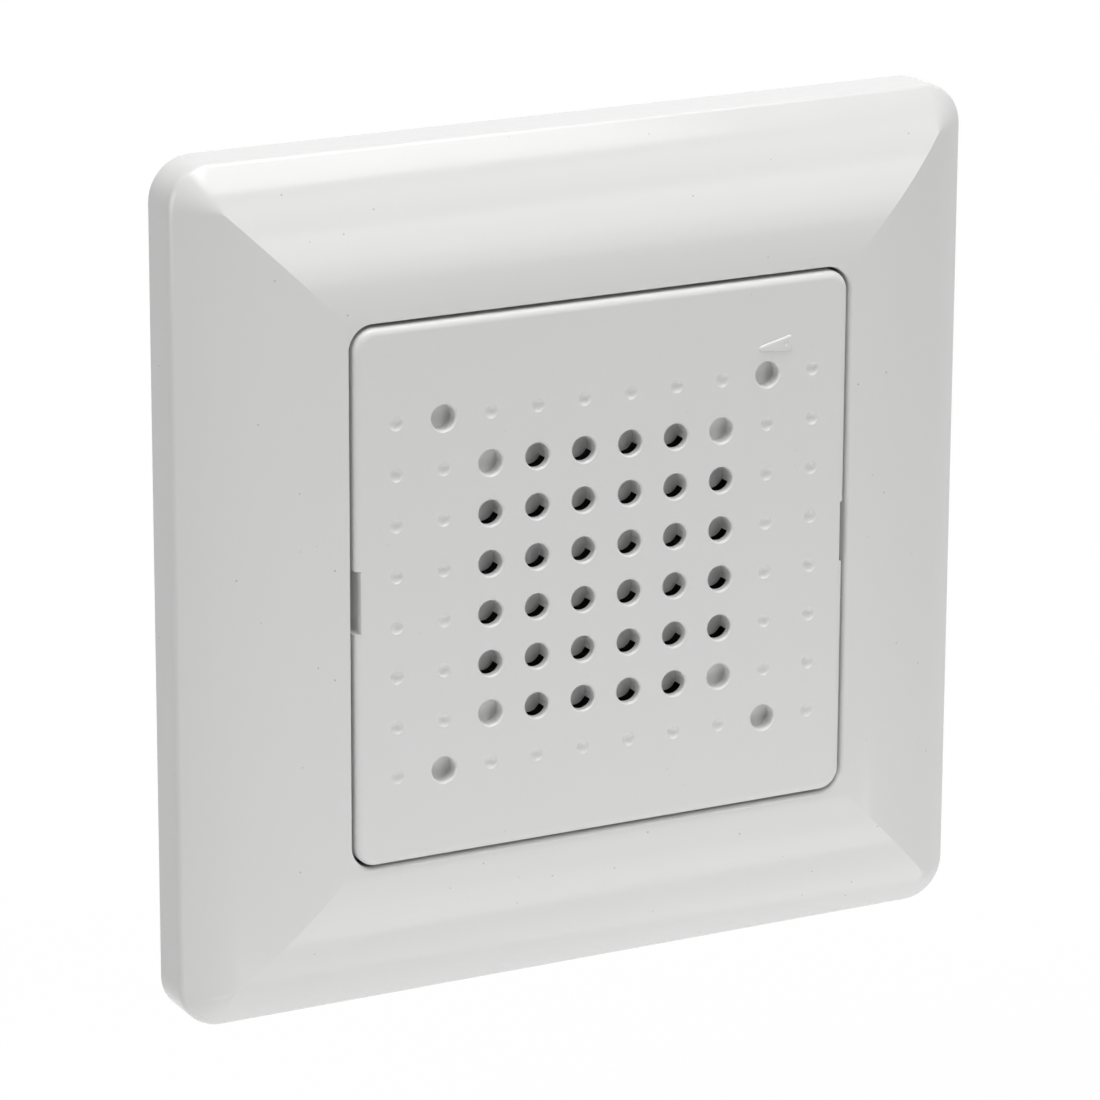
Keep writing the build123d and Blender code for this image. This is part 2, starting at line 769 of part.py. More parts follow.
def axial_part(x, z, radius, length, board_face, side):
    """Axial part lying along X beside the board, with its two leads bent into it."""
    lead_height = board_face + side * (radius + clearance)
    lying_rod(x, z, lead_height, radius, length)
    lying_rod(x, z, lead_height, diode_lead / 2, length + 2 * diode_lead)
    for end in (-1, 1):
        lead_x = x + end * (length / 2 + diode_lead)
        low, high = sorted((board_face, lead_height))
        box_between(about(lead_x, diode_lead), about(z, diode_lead), (low, high))


with BuildPart() as rectifier_diodes:
    for number in range(diode_count):
        row_z = (number - (diode_count - 1) / 2) * diode_spacing - diode_spacing
        axial_part(board_half - diode_inset, row_z, diode_diameter / 2, diode_length, board_front, 1)
save(rectifier_diodes.part, "rectifier_diodes")

# Parts soldered to the back of the board
chip_row = clip_seat / 2
resistor_column = (board_half - resistor_length) / 2
resistor_row = chip_row - chip_width / 2 - chip_pin_reach - resistor_gap

with BuildPart() as board_resistors:
    for number in range(resistor_count):
        axial_part(resistor_column, resistor_row - number * resistor_spacing,
                   resistor_diameter / 2, resistor_length, board_back, -1)
save(board_resistors.part, "board_resistors")


def chip(x, z, pins):
    """Dual-in-line chip behind the board, with its pins bent into it."""
    length = pins * chip_pin_spacing
    body_front = board_back - clearance
    box_between(about(x, length), about(z, chip_width), (body_front - chip_height, body_front))
    for side in (-1, 1):
        for number in range(pins):
            pin_x = x + (number - (pins - 1) / 2) * chip_pin_spacing
            pin_z = z + side * (chip_width + chip_pin_reach) / 2
            box_between(about(pin_x, chip_pin_width), about(pin_z, chip_pin_reach),
                        (body_front - chip_height / 2, board_back))


with BuildPart() as sound_chip:
    chip(0, chip_row, sound_chip_pins)
save(sound_chip.part, "sound_chip")

with BuildPart() as amplifier_chip:
    chip(-board_half / 2, -chip_row * amplifier_row_share, amplifier_pins)
save(amplifier_chip.part, "amplifier_chip")

# Terminal block: screws at its back, wire holes at its lower side
with BuildPart() as terminal_block:
    box_between(about(0, terminal_side), (terminal_low, terminal_high), (terminal_back, terminal_front))
    for pole in pole_places:
        box_between(about(pole, cage_width + 2 * cage_gap), (cage_low - cage_gap, cage_high + cage_gap),
                    (cavity_back, cage_front + cage_gap), mode=Mode.SUBTRACT)
        box_between(about(pole, pin_width + 2 * fit_gap), (screw_row, pin_end + pin_thickness + fit_gap),
                    (pin_back - fit_gap, terminal_front), mode=Mode.SUBTRACT)
        with BuildSketch(wall_plane(terminal_back)):
            with Locations((pole, screw_row)):
                Circle(terminal_head_diameter / 2 + cage_gap)
        extrude(amount=head_front - terminal_back, mode=Mode.SUBTRACT)
        with BuildSketch(wall_plane(terminal_back)):
            with Locations((pole, screw_row)):
                Circle(terminal_screw_diameter / 2 + fit_gap)
        extrude(amount=cavity_back - terminal_back, mode=Mode.SUBTRACT)
        wire_middle = (pin_front + cage_front - cage_wall) / 2
        with BuildSketch(Plane.XY.offset(terminal_low)):
            with Locations((pole, -wire_middle)):
                Circle((cage_front - cage_wall - pin_front) / 2)
        extrude(amount=terminal_wall, mode=Mode.SUBTRACT)
save(terminal_block.part, "terminal_block")

with BuildPart() as terminal_pins:
    for pole in pole_places:
        box_between(about(pole, pin_width), (cage_low + cage_gap, pin_end + pin_thickness),
                    (pin_back, pin_front))
        box_between(about(pole, pin_width), (pin_end, pin_end + pin_thickness),
                    (pin_back, board_front + clearance))
save(terminal_pins.part, "terminal_pins")


def make_cage(pole):
    """Rising clamp cage: a frame round the wire with the screw's threaded hole in its back wall."""
    with BuildPart() as cage:
        box_between(about(pole, cage_width), (cage_low, cage_high), (cage_back, cage_front))
        box_between(about(pole, cage_width - 2 * cage_wall), (cage_low, cage_high),
                    (cage_back + cage_wall, cage_front - cage_wall), mode=Mode.SUBTRACT)
        with BuildSketch(wall_plane(cage_back)):
            with Locations((pole, screw_row)):
                Circle(terminal_screw_diameter / 2 + fit_gap)
        extrude(amount=cage_wall, mode=Mode.SUBTRACT)
    return cage.part


def make_terminal_screw(pole):
    """Captive terminal screw with a slotted head at the back."""
    with BuildPart() as screw:
        with BuildSketch(wall_plane(head_back)):
            with Locations((pole, screw_row)):
                Circle(terminal_head_diameter / 2)
        extrude(amount=terminal_head_height)
        with BuildSketch(wall_plane(head_front)):
            with Locations((pole, screw_row)):
                Circle(terminal_screw_diameter / 2)
        extrude(amount=cage_back + cage_wall - head_front)
        box_between(about(pole, terminal_head_diameter), about(screw_row, terminal_slot_width),
                    (head_back, head_back + terminal_slot_depth), mode=Mode.SUBTRACT)
    return screw.part


for number, pole in enumerate(pole_places, start=1):
    save(make_cage(pole), f"terminal_cage_{number}")
    save(make_terminal_screw(pole), f"terminal_screw_{number}")

# Tag board on the basket's ear, and the two wires from it to the circuit board
tag_front = basket_back - tag_board_thickness
wire_radius = wire_diameter / 2
tag_columns = (-tag_spacing / 2, tag_spacing / 2)

with BuildPart() as speaker_tag_board:
    box_between(about(0, tag_board_side), about(tag_row, tag_board_width), (tag_front, basket_back))
save(speaker_tag_board.part, "speaker_tag_board")

with BuildPart() as solder_tags:
    with BuildSketch(wall_plane(tag_front)):
        with Locations(*[(x, tag_row) for x in tag_columns]):
            Circle(tag_diameter / 2)
    extrude(amount=-wire_diameter)
save(solder_tags.part, "solder_tags")

wire_start = tag_front - wire_diameter
wire_drop = wire_start - board_front
bend_shares = (0.32, 0.65)

with BuildPart() as speaker_leads:
    for x in tag_columns:
        route = [on_wall(x, tag_row, wire_start),
                 on_wall(x, tag_row, wire_start - wire_drop * bend_shares[0]),
                 on_wall(x, tag_row - wire_bow, wire_start - wire_drop * bend_shares[1]),
                 on_wall(x, tag_row - wire_bow, board_front)]
        with BuildLine() as lead_path:
            FilletPolyline(*route, radius=wire_bow)
        with BuildSketch(wall_plane(wire_start)):
            with Locations((x, tag_row)):
                Circle(wire_radius)
        sweep(path=lead_path.wires()[0])
save(speaker_leads.part, "speaker_leads")
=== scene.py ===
"""Looks of the flush door chime: finishes for every piece, the raised volume mark on the
cover, and a plain studio.  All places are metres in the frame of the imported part:
X to the right, Z up, Y into the wall, whose face is the plane Y = 0.
"""

import math

import bmesh
import bpy
from bpy.props import FloatProperty, FloatVectorProperty, PointerProperty
from mathutils import Matrix, Vector


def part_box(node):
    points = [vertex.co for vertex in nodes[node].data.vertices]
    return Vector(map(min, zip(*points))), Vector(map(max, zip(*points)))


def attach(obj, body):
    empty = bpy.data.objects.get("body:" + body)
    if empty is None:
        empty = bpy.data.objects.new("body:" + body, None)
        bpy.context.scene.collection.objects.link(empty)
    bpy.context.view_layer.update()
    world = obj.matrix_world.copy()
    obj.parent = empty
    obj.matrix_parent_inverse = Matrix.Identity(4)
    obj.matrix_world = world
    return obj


bl_info = {
    "name": "Flush Door Chime",
    "version": (1, 0, 0),
    "blender": (4, 5, 0),
    "location": "View3D > Sidebar > Chime",
    "description": "Finishes the packed door chime and sets it in a plain studio",
    "category": "Object",
}

MM = 0.001

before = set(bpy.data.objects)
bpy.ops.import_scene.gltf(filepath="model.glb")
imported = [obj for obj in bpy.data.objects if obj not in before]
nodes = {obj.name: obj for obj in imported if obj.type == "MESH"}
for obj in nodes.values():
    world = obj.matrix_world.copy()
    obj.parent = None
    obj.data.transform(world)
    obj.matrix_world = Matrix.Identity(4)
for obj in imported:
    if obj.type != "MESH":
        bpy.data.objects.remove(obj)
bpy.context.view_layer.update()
frame_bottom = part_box("cover_frame")[0].z
cover_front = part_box("front_cover")[0].y

# Lamps of the studio: name, place, target, width and height, watts
LAMPS = (
    ("Top box", (0.05, -0.08, 0.7), (0.0, 0.0, 0.0), (0.6, 0.4), 2.9),
    ("Upper box", (0.05, -0.25, 0.68), (0.0, 0.0, 0.0), (0.6, 0.4), 2.4),
    ("Window box", (0.386, -0.726, 0.475), (0.0, 0.0, 0.0), (0.54, 0.54), 0.8),
    ("Front box", (0.45, -0.75, 0.3), (0.0, 0.0, 0.0), (0.4, 0.4), 0.68),
    ("Left box", (-0.7, -0.1, 0.1), (0.0, 0.0, 0.0), (0.5, 0.5), 1.65),
    ("Table light", (0.03, -0.16, -0.16), (0.03, 0.0, 0.0), (0.4, 0.12), 0.18),
    ("Edge light", (0.03, -0.08, -0.14), (0.0, 0.0, 0.0), (0.3, 0.1), 0.055),
    ("Back box", (0.12, 0.8, -0.06), (0.0, 0.0, 0.0), (0.4, 0.3), 2.6),
)

WHITE = (1.0, 1.0, 1.0)
SPECK_TONE = (0.18, 0.17, 0.16)
FIBRE_DUST = (0.25, 0.24, 0.22)
FLOOR_CLOUD = (0.72, 0.72, 0.72)

# Cells to the metre along X, Y and Z, and across the rings of turned metal
SCRATCH_CELLS = (120.0, 2600.0, 2600.0)
FIBRE_CELLS = (700.0, 4200.0, 4200.0)
CROSS_FIBRE_CELLS = (4200.0, 4200.0, 700.0)
WEAVE_CELLS = (2400.0, 2400.0, 2400.0)
LATHE_CELLS = 9000.0

# Shares and factors of the finishes
SPECKLESS_CELLS = 0.68  # cells of moulded plastic without a speck
CLOUD_ROUGHNESS = 0.06  # change of roughness through the clouds of plated metal
LATHE_CLOUD = 0.12  # strength of the clouds on turned metal
RING_FADE = 1.25  # end of a ring's soft edge, in half widths of the ring
TRACK_FADE = 0.03  # width of a track's soft edge, in cells
TRACK_TONE = 1.9  # resist over a track against the resist beside it
WEAVE_HEIGHT = 0.15  # glass weave against the height of a track
GROOVE_PAINTED_SHADE = 0.35  # painted shade: copper between the turns of the coil darkened against their crowns
FLOOR_MOTTLE = 0.06  # most that the floor's clouds mix in

# Points of the volume mark's outlines
EDGE_STEPS = 10
CORNER_STEPS = 8
PIP_SIDES = 32


def tone(name, description, value):
    """Colour property of one finish or of the floor."""
    return FloatVectorProperty(name=name, description=description, subtype="COLOR", size=3,
                               min=0.0, max=1.0, default=value)


def length(name, description, value):
    """Length property in metres."""
    return FloatProperty(name=name, description=description, subtype="DISTANCE", unit="LENGTH",
                         default=value)


class ChimeTones(bpy.types.PropertyGroup):
    """Colours of the chime's finishes."""

    frame_white: tone("Cover frame", "Glossy white of the frame", (0.80, 0.80, 0.795))
    cover_white: tone("Centre cover", "Satin white of the cover", (0.79, 0.79, 0.785))
    carrier_black: tone("Carrier", "Black plastic behind the cover", (0.022, 0.022, 0.024))
    housing_grey: tone("Housing", "Dark grey plastic in the wall box", (0.045, 0.047, 0.05))
    zinc: tone("Zinc", "Zinc-coated steel", (0.60, 0.61, 0.61))
    nickel: tone("Nickel", "Nickel-plated brass", (0.68, 0.65, 0.56))
    copper: tone("Copper", "Enamelled copper wire", (0.66, 0.30, 0.14))
    board_green: tone("Board", "Solder resist of the circuit board", (0.02, 0.13, 0.05))
    terminal_grey: tone("Terminals", "Light grey plastic of the terminals", (0.42, 0.43, 0.42))
    lead_red: tone("Leads", "Insulation of the loudspeaker's leads", (0.35, 0.02, 0.02))
    lacquer_black: tone("Basket", "Black lacquer of the loudspeaker's basket", (0.02, 0.02, 0.021))
    gasket_grey: tone("Gasket", "Grey board under the loudspeaker's rim", (0.09, 0.085, 0.08))
    ferrite: tone("Magnet", "Dark ferrite", (0.035, 0.035, 0.037))
    paper_black: tone("Cone", "Black paper of the cone and cap", (0.012, 0.012, 0.012))
    rubber_black: tone("Surround", "Black rubber of the cone's surround", (0.014, 0.014, 0.014))
    laminate_brown: tone("Tag board", "Brown laminate under the tags", (0.16, 0.07, 0.03))
    tinned: tone("Tags", "Tinned brass", (0.62, 0.61, 0.56))
    epoxy_black: tone("Chips", "Black epoxy", (0.02, 0.02, 0.021))
    trimmer_blue: tone("Trimmer", "Blue plastic of the trimmer", (0.03, 0.12, 0.32))
    spindle_white: tone("Spindle", "White plastic of the spindle", (0.68, 0.68, 0.66))
    sleeve_blue: tone("Sleeve", "Dark sleeve of the capacitors", (0.012, 0.02, 0.06))
    sleeve_stripe: tone("Stripe", "Pale stripe on the sleeve", (0.45, 0.46, 0.5))
    can_end: tone("Can", "Bare aluminium end of the capacitors", (0.65, 0.65, 0.66))
    diode_black: tone("Diode", "Black epoxy of the diodes", (0.02, 0.02, 0.02))
    resistor_tan: tone("Resistor", "Tan lacquer of the resistors", (0.50, 0.36, 0.2))
    resistor_ring: tone("Resistor rings", "Rings on the resistors", (0.12, 0.05, 0.02))
    axial_lead: tone("Wire ends", "Tinned wire of diodes and resistors", (0.62, 0.61, 0.57))


class MarkSizes(bpy.types.PropertyGroup):
    """Sizes of the raised volume mark on the cover."""

    left: length("Left", "X of the wedge's narrow end", 15.68 * MM)
    right: length("Right", "X of the wedge's wide end", 19.1 * MM)
    middle: length("Middle", "Z of the narrow end's middle", 18.6 * MM)
    narrow: length("Narrow end", "Width of the narrow end", 0.46 * MM)
    top: length("Top", "Z of the wide end's upper corner", 19.65 * MM)
    bottom: length("Bottom", "Z of the wide end's lower corner", 18.09 * MM)
    height: length("Height", "How far the mark stands proud", 0.17 * MM)
    corner: length("Corner", "Radius of the wedge's corners", 0.26 * MM)
    rounding: length("Rounding", "Width of the rounded edge", 0.25 * MM)
    sunk: length("Sunk", "How deep the mark is sunk in the cover", 0.05 * MM)
    pip_x: length("Pip X", "X of the pip in the wedge", 18.38 * MM)
    pip_z: length("Pip Z", "Z of the pip in the wedge", 18.84 * MM)
    pip_radius: length("Pip radius", "Radius of the pip", 0.27 * MM)
    pip_depth: length("Pip depth", "Depth of the pip", 0.09 * MM)


class StudioSizes(bpy.types.PropertyGroup):
    """Places and strengths of the plain studio."""

    lens: FloatProperty(name="Lens", description="Focal length", subtype="DISTANCE_CAMERA",
                        unit="CAMERA", default=189.4)
    sensor: FloatProperty(name="Sensor", description="Width of the sensor",
                          subtype="DISTANCE_CAMERA", unit="CAMERA", default=36.0)
    azimuth: FloatProperty(name="Azimuth", description="How far the camera is to the left",
                           subtype="ANGLE", unit="ROTATION", default=math.radians(27.50))
    elevation: FloatProperty(name="Elevation", description="How far the camera is above",
                             subtype="ANGLE", unit="ROTATION", default=math.radians(16.90))
    roll: FloatProperty(name="Roll", description="Camera's roll", subtype="ANGLE",
                        unit="ROTATION", default=math.radians(0.23))
    distance: length("Distance", "From the cover's middle to the camera", 0.5240)
    aside: length("Aside", "Camera's shift to its right", -5.027 * MM)
    upwards: length("Upwards", "Camera's shift to its top", 1.572 * MM)
    floor_drop: length("Floor drop", "Floor below the frame's lower edge", 0.3)
    floor_side: length("Floor side", "Side of the square floor", 6.0)
    floor_tone: tone("Floor", "Pale floor", (0.80, 0.80, 0.80))
    floor_near: length("Floor near", "Radius in which the floor shows its shadow", 0.35)
    floor_far: length("Floor far", "Radius beyond which the floor is plain white", 1.0)
    sky: FloatProperty(name="Surround", description="Brightness of the studio's surround",
                       min=0.0, default=0.005)


# Helpers for meshes
def as_mesh(name, build):
    """Object whose mesh is made by build, which gets an empty bmesh."""
    mesh = bpy.data.meshes.new(name)
    work = bmesh.new()
    build(work)
    bmesh.ops.recalc_face_normals(work, faces=work.faces)
    work.to_mesh(mesh)
    work.free()
    made = bpy.data.objects.new(name, mesh)
    bpy.context.scene.collection.objects.link(made)
    return made


def shade_smooth(made, angle):
    """Smooth shading that keeps edges sharper than the angle."""
    for face in made.data.polygons:
        face.use_smooth = True
    with bpy.context.temp_override(object=made, active_object=made, selected_objects=[made],
                                   selected_editable_objects=[made]):
        bpy.ops.object.shade_smooth_by_angle(angle=math.radians(angle))


def facing_room(level):
    """Matrix that turns a piece drawn in XY to the room, and sets it on the plane Y = level."""
    axes = Matrix(((1, 0, 0), (0, 0, -1), (0, 1, 0))).to_4x4()
    return Matrix.Translation((0.0, level, 0.0)) @ axes


# Helpers for shader trees
class Tree:
    """Adds nodes to one node tree; a value may be a number, a colour or an output socket."""

    def __init__(self, tree):
        self.tree = tree

    def node(self, kind, values=(), **settings):
        """New node with its settings and the values of its sockets."""
        made = self.tree.nodes.new(kind)
        for key, value in settings.items():
            setattr(made, key, value)
        for socket, value in dict(values).items():
            self.feed(made.inputs[socket], value)
        return made

    def feed(self, socket, value):
        """Set a socket, or link an output to it."""
        if isinstance(value, bpy.types.NodeSocket):
            self.tree.links.new(value, socket)
        elif socket.type == "RGBA" and len(value) == 3:
            socket.default_value = (*value, 1.0)
        else:
            socket.default_value = value

    def math(self, operation, first, second=0.0):
        """Result of one sum, product or other step."""
        return self.node("ShaderNodeMath", {0: first, 1: second}, operation=operation).outputs[0]

    def scaled(self, colour, share):
        """Colour times a number."""
        made = self.node("ShaderNodeVectorMath", {0: colour}, operation="SCALE")
        self.feed(made.inputs["Scale"], share)
        return made.outputs["Vector"]

    def parts(self):
        """Object coordinates apart, as X, Y and Z."""
        return self.node("ShaderNodeSeparateXYZ", {"Vector": self.place()}).outputs

    def ramp(self, value, low, high, to_low=0.0, to_high=1.0):
        """Smooth step from to_low to to_high while the value goes from low to high."""
        made = self.node("ShaderNodeMapRange", {"Value": value, "From Min": low, "From Max": high,
                                                "To Min": to_low, "To Max": to_high},
                         interpolation_type="SMOOTHSTEP")
        return made.outputs["Result"]

    def blend(self, share, first, second):
        """Mix of two colours."""
        made = self.node("ShaderNodeMix", data_type="RGBA")
        self.feed(made.inputs["Factor"], share)
        self.feed(made.inputs["A"], first)
        self.feed(made.inputs["B"], second)
        return made.outputs["Result"]

    def place(self):
        """Object coordinates, which are the part's own metres."""
        return self.node("ShaderNodeTexCoord").outputs["Object"]

    def noise(self, place, scale=1.0, detail=2.0, roughness=0.5):
        """Noise from 0 to 1; the scale is cells to the metre, or 1 for a stretched place."""
        made = self.node("ShaderNodeTexNoise", {"Vector": place, "Scale": scale,
                                                "Detail": detail, "Roughness": roughness})
        return made.outputs["Fac"]

    def stretched(self, place, scale):
        """Place times a scale for each of X, Y and Z."""
        made = self.node("ShaderNodeMapping", {"Vector": place, "Scale": scale})
        return made.outputs["Vector"]


def effect(name, inputs, outputs, build):
    """Shader node group with named inputs and outputs, built once."""
    group = bpy.data.node_groups.new(name, "ShaderNodeTree")
    for label, kind, value in inputs:
        socket = group.interface.new_socket(name=label, in_out="INPUT", socket_type=kind)
        socket.default_value = value
    for label, kind in outputs:
        group.interface.new_socket(name=label, in_out="OUTPUT", socket_type=kind)
    tree = Tree(group)
    given = tree.node("NodeGroupInput")
    made = build(tree, {label: given.outputs[label] for label, kind, value in inputs})
    tree.node("NodeGroupOutput", made)
    return group


NUMBER = "NodeSocketFloat"
COLOUR = "NodeSocketColor"


def moulded_skin(tree, given):
    """Moulded plastic: a faint mottle, a fine grain and a few specks."""
    place = tree.place()
    mottle = tree.noise(place, scale=55.0, detail=3.0)
    shade = tree.math("SUBTRACT", 1.0, tree.math("MULTIPLY", mottle, given["Mottle"]))
    cells = tree.node("ShaderNodeTexVoronoi", {"Vector": place, "Scale": given["Speck Scale"]})
    small = tree.ramp(cells.outputs["Distance"], low=0.03, high=0.08, to_low=1.0, to_high=0.0)
    picked = tree.node("ShaderNodeSeparateColor", {"Color": cells.outputs["Color"]})
    rare = tree.math("GREATER_THAN", picked.outputs["Red"], SPECKLESS_CELLS)
    speck = tree.math("MULTIPLY", tree.math("MULTIPLY", small, rare), given["Specks"])
    colour = tree.blend(speck, tree.scaled(given["Tone"], shade), SPECK_TONE)
    grain = tree.noise(place, given["Grain Scale"])
    patches = tree.noise(place, scale=140.0, detail=4.0)
    haze = tree.ramp(patches, low=0.35, high=0.7, to_low=-0.5, to_high=0.5)
    rough = tree.math("ADD", given["Roughness"], tree.math("MULTIPLY", haze, given["Haze"]))
    return {"Color": colour, "Roughness": rough, "Height": grain}


def plated_metal(tree, given):
    """Plated metal: soft grey clouds, fine pits and light scratches along X."""
    place = tree.place()
    patches = tree.noise(place, scale=260.0, detail=4.0, roughness=0.6)
    cloud = tree.ramp(patches, low=0.3, high=0.7, to_low=-0.5, to_high=0.5)
    shade = tree.math("ADD", 1.0, tree.math("MULTIPLY", cloud, given["Cloud"]))
    drawn = tree.noise(tree.stretched(place, SCRATCH_CELLS), detail=3.0)
    rough = tree.math("ADD", given["Roughness"], tree.math("MULTIPLY", cloud, CLOUD_ROUGHNESS))
    height = tree.math("ADD", drawn, tree.noise(place, scale=3200.0))
    return {"Color": tree.scaled(given["Tone"], shade), "Roughness": rough, "Height": height}


def turned_metal(tree, given):
    """Rings left by a lathe round an axis along Y."""
    parts = tree.parts()
    aside = tree.math("SUBTRACT", parts["X"], given["Axis X"])
    above = tree.math("SUBTRACT", parts["Z"], given["Axis Z"])
    span = tree.math("SQRT", tree.math("ADD", tree.math("MULTIPLY", aside, aside),
                                       tree.math("MULTIPLY", above, above)))
    rings = tree.node("ShaderNodeCombineXYZ",
                      {"X": tree.math("MULTIPLY", span, LATHE_CELLS),
                       "Y": tree.math("MULTIPLY", parts["Y"], LATHE_CELLS)})
    return {"Height": tree.noise(rings.outputs["Vector"])}


def pressed_fibre(tree, given):
    """Pressed paper or board: fibres lying every way, with a paler dust between them."""
    place = tree.place()
    one = tree.noise(tree.stretched(place, FIBRE_CELLS), detail=3.0)
    other = tree.noise(tree.stretched(place, CROSS_FIBRE_CELLS), detail=3.0)
    fibre = tree.math("MAXIMUM", one, other)
    pale = tree.ramp(fibre, low=0.55, high=0.75)
    colour = tree.blend(tree.math("MULTIPLY", pale, given["Fibre"]), given["Tone"], FIBRE_DUST)
    return {"Color": colour, "Height": fibre}


def bands(tree, given):
    """Mask of rings across X: one spacing to either side of a middle, and every two on."""
    away = tree.math("SUBTRACT", tree.parts()["X"], given["Middle"])
    wrapped = tree.math("PINGPONG", tree.math("ADD", away, given["Spacing"]), given["Spacing"])
    outside = tree.math("MULTIPLY", given["Width"], RING_FADE)
    return {"Mask": tree.ramp(wrapped, given["Width"], outside, to_low=1.0, to_high=0.0)}


def board_tracks(tree, given):
    """Copper tracks under the solder resist, along the borders of cells, and glass weave."""
    place = tree.place()
    cells = tree.node("ShaderNodeTexVoronoi", {"Vector": place, "Scale": given["Scale"]},
                      distance="MANHATTAN", feature="F2")
    nearest = tree.node("ShaderNodeTexVoronoi", {"Vector": place, "Scale": given["Scale"]},
                        distance="MANHATTAN")
    gap = tree.math("SUBTRACT", cells.outputs["Distance"], nearest.outputs["Distance"])
    outside = tree.math("ADD", given["Width"], TRACK_FADE)
    track = tree.ramp(gap, given["Width"], outside, to_low=1.0, to_high=0.0)
    weave = tree.noise(tree.stretched(place, WEAVE_CELLS), detail=1.0)
    return {"Mask": track, "Weave": weave}


def make_effects():
    """All shader groups by name."""
    return {
        "skin": effect("Moulded Skin",
                       [("Tone", COLOUR, (0.8, 0.8, 0.8, 1)), ("Mottle", NUMBER, 0.02),
                        ("Roughness", NUMBER, 0.3), ("Haze", NUMBER, 0.05),
                        ("Grain Scale", NUMBER, 2500.0), ("Speck Scale", NUMBER, 600.0),
                        ("Specks", NUMBER, 0.0)],
                       [("Color", COLOUR), ("Roughness", NUMBER), ("Height", NUMBER)],
                       moulded_skin),
        "plated": effect("Plated Metal",
                         [("Tone", COLOUR, (0.6, 0.6, 0.6, 1)), ("Roughness", NUMBER, 0.3),
                          ("Cloud", NUMBER, 0.2)],
                         [("Color", COLOUR), ("Roughness", NUMBER), ("Height", NUMBER)],
                         plated_metal),
        "turned": effect("Turned Rings", [("Axis X", NUMBER, 0.0), ("Axis Z", NUMBER, 0.0)],
                         [("Height", NUMBER)], turned_metal),
        "fibre": effect("Pressed Fibre",
                        [("Tone", COLOUR, (0.02, 0.02, 0.02, 1)), ("Fibre", NUMBER, 0.2)],
                        [("Color", COLOUR), ("Height", NUMBER)], pressed_fibre),
        "bands": effect("Rings Across",
                        [("Middle", NUMBER, 0.0), ("Spacing", NUMBER, 0.01),
                         ("Width", NUMBER, 0.0002)],
                        [("Mask", NUMBER)], bands),
        "tracks": effect("Board Tracks", [("Scale", NUMBER, 300.0), ("Width", NUMBER, 0.1)],
                         [("Mask", NUMBER), ("Weave", NUMBER)], board_tracks),
    }


effects = {}


def start_material(name):
    """Empty material with its shader, and the tree to build in."""
    material = bpy.data.materials.new(name)
    material.use_nodes = True
    material.node_tree.nodes.clear()
    tree = Tree(material.node_tree)
    shader = tree.node("ShaderNodeBsdfPrincipled")
    out = tree.node("ShaderNodeOutputMaterial")
    tree.feed(out.inputs["Surface"], shader.outputs["BSDF"])
    return material, tree, shader


def use(tree, effect_name, values):
    """Place a shader group in a material with its own values."""
    made = tree.node("ShaderNodeGroup", node_tree=effects[effect_name])
    for socket, value in values.items():
        tree.feed(made.inputs[socket], value)
    return made


def bump(tree, shader, height, depth):
    """Feed a height from 0 to 1, times a depth in metres, to the shader's normal."""
    made = tree.node("ShaderNodeBump", {"Height": height, "Distance": depth, "Strength": 1.0})
    tree.feed(shader.inputs["Normal"], made.outputs["Normal"])


def plastic(name, colour, roughness, mottle=0.03, haze=0.06, grain_scale=2500.0, grain=0.004 * MM,
            specks=0.0, coat=0.0):
    """Moulded plastic."""
    material, tree, shader = start_material(name)
    skin = use(tree, "skin", {"Tone": colour, "Mottle": mottle, "Roughness": roughness,
                              "Haze": haze, "Grain Scale": grain_scale, "Specks": specks})
    tree.feed(shader.inputs["Base Color"], skin.outputs["Color"])
    tree.feed(shader.inputs["Roughness"], skin.outputs["Roughness"])
    shader.inputs["IOR"].default_value = 1.5
    shader.inputs["Coat Weight"].default_value = coat
    bump(tree, shader, skin.outputs["Height"], depth=grain)
    return material


def metal(name, colour, roughness, cloud=0.2):
    """Plated metal."""
    material, tree, shader = start_material(name)
    plate = use(tree, "plated", {"Tone": colour, "Roughness": roughness, "Cloud": cloud})
    tree.feed(shader.inputs["Base Color"], plate.outputs["Color"])
    tree.feed(shader.inputs["Roughness"], plate.outputs["Roughness"])
    shader.inputs["Metallic"].default_value = 1.0
    bump(tree, shader, plate.outputs["Height"], depth=0.004 * MM)
    return material


def lathe_metal(name, colour, roughness, axis=(0.0, 0.0)):
    """Metal turned on a lathe."""
    material, tree, shader = start_material(name)
    rings = use(tree, "turned", {"Axis X": axis[0], "Axis Z": axis[1]})
    plate = use(tree, "plated", {"Tone": colour, "Roughness": roughness,
                                 "Cloud": LATHE_CLOUD})
    tree.feed(shader.inputs["Base Color"], plate.outputs["Color"])
    tree.feed(shader.inputs["Roughness"], plate.outputs["Roughness"])
    shader.inputs["Metallic"].default_value = 1.0
    bump(tree, shader, rings.outputs["Height"], depth=0.01 * MM)
    return material


def fibre_board(name, colour, fibre, roughness=0.85):
    """Pressed paper or board."""
    material, tree, shader = start_material(name)
    pressed = use(tree, "fibre", {"Tone": colour, "Fibre": fibre})
    tree.feed(shader.inputs["Base Color"], pressed.outputs["Color"])
    shader.inputs["Roughness"].default_value = roughness
    bump(tree, shader, pressed.outputs["Height"], depth=0.03 * MM)
    return material


def dress(node_names, material):
    """Give CAD nodes their finish."""
    for name in node_names:
        mesh = nodes[name].data
        mesh.materials.clear()
        mesh.materials.append(material)


def wear(piece, body, material):
    """Give a new piece its finish and let it ride on its body."""
    piece.data.materials.clear()
    piece.data.materials.append(material)
    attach(piece, body)


class PieceOperator:
    """What every operator of the chime shares."""

    bl_options = {"REGISTER", "UNDO"}


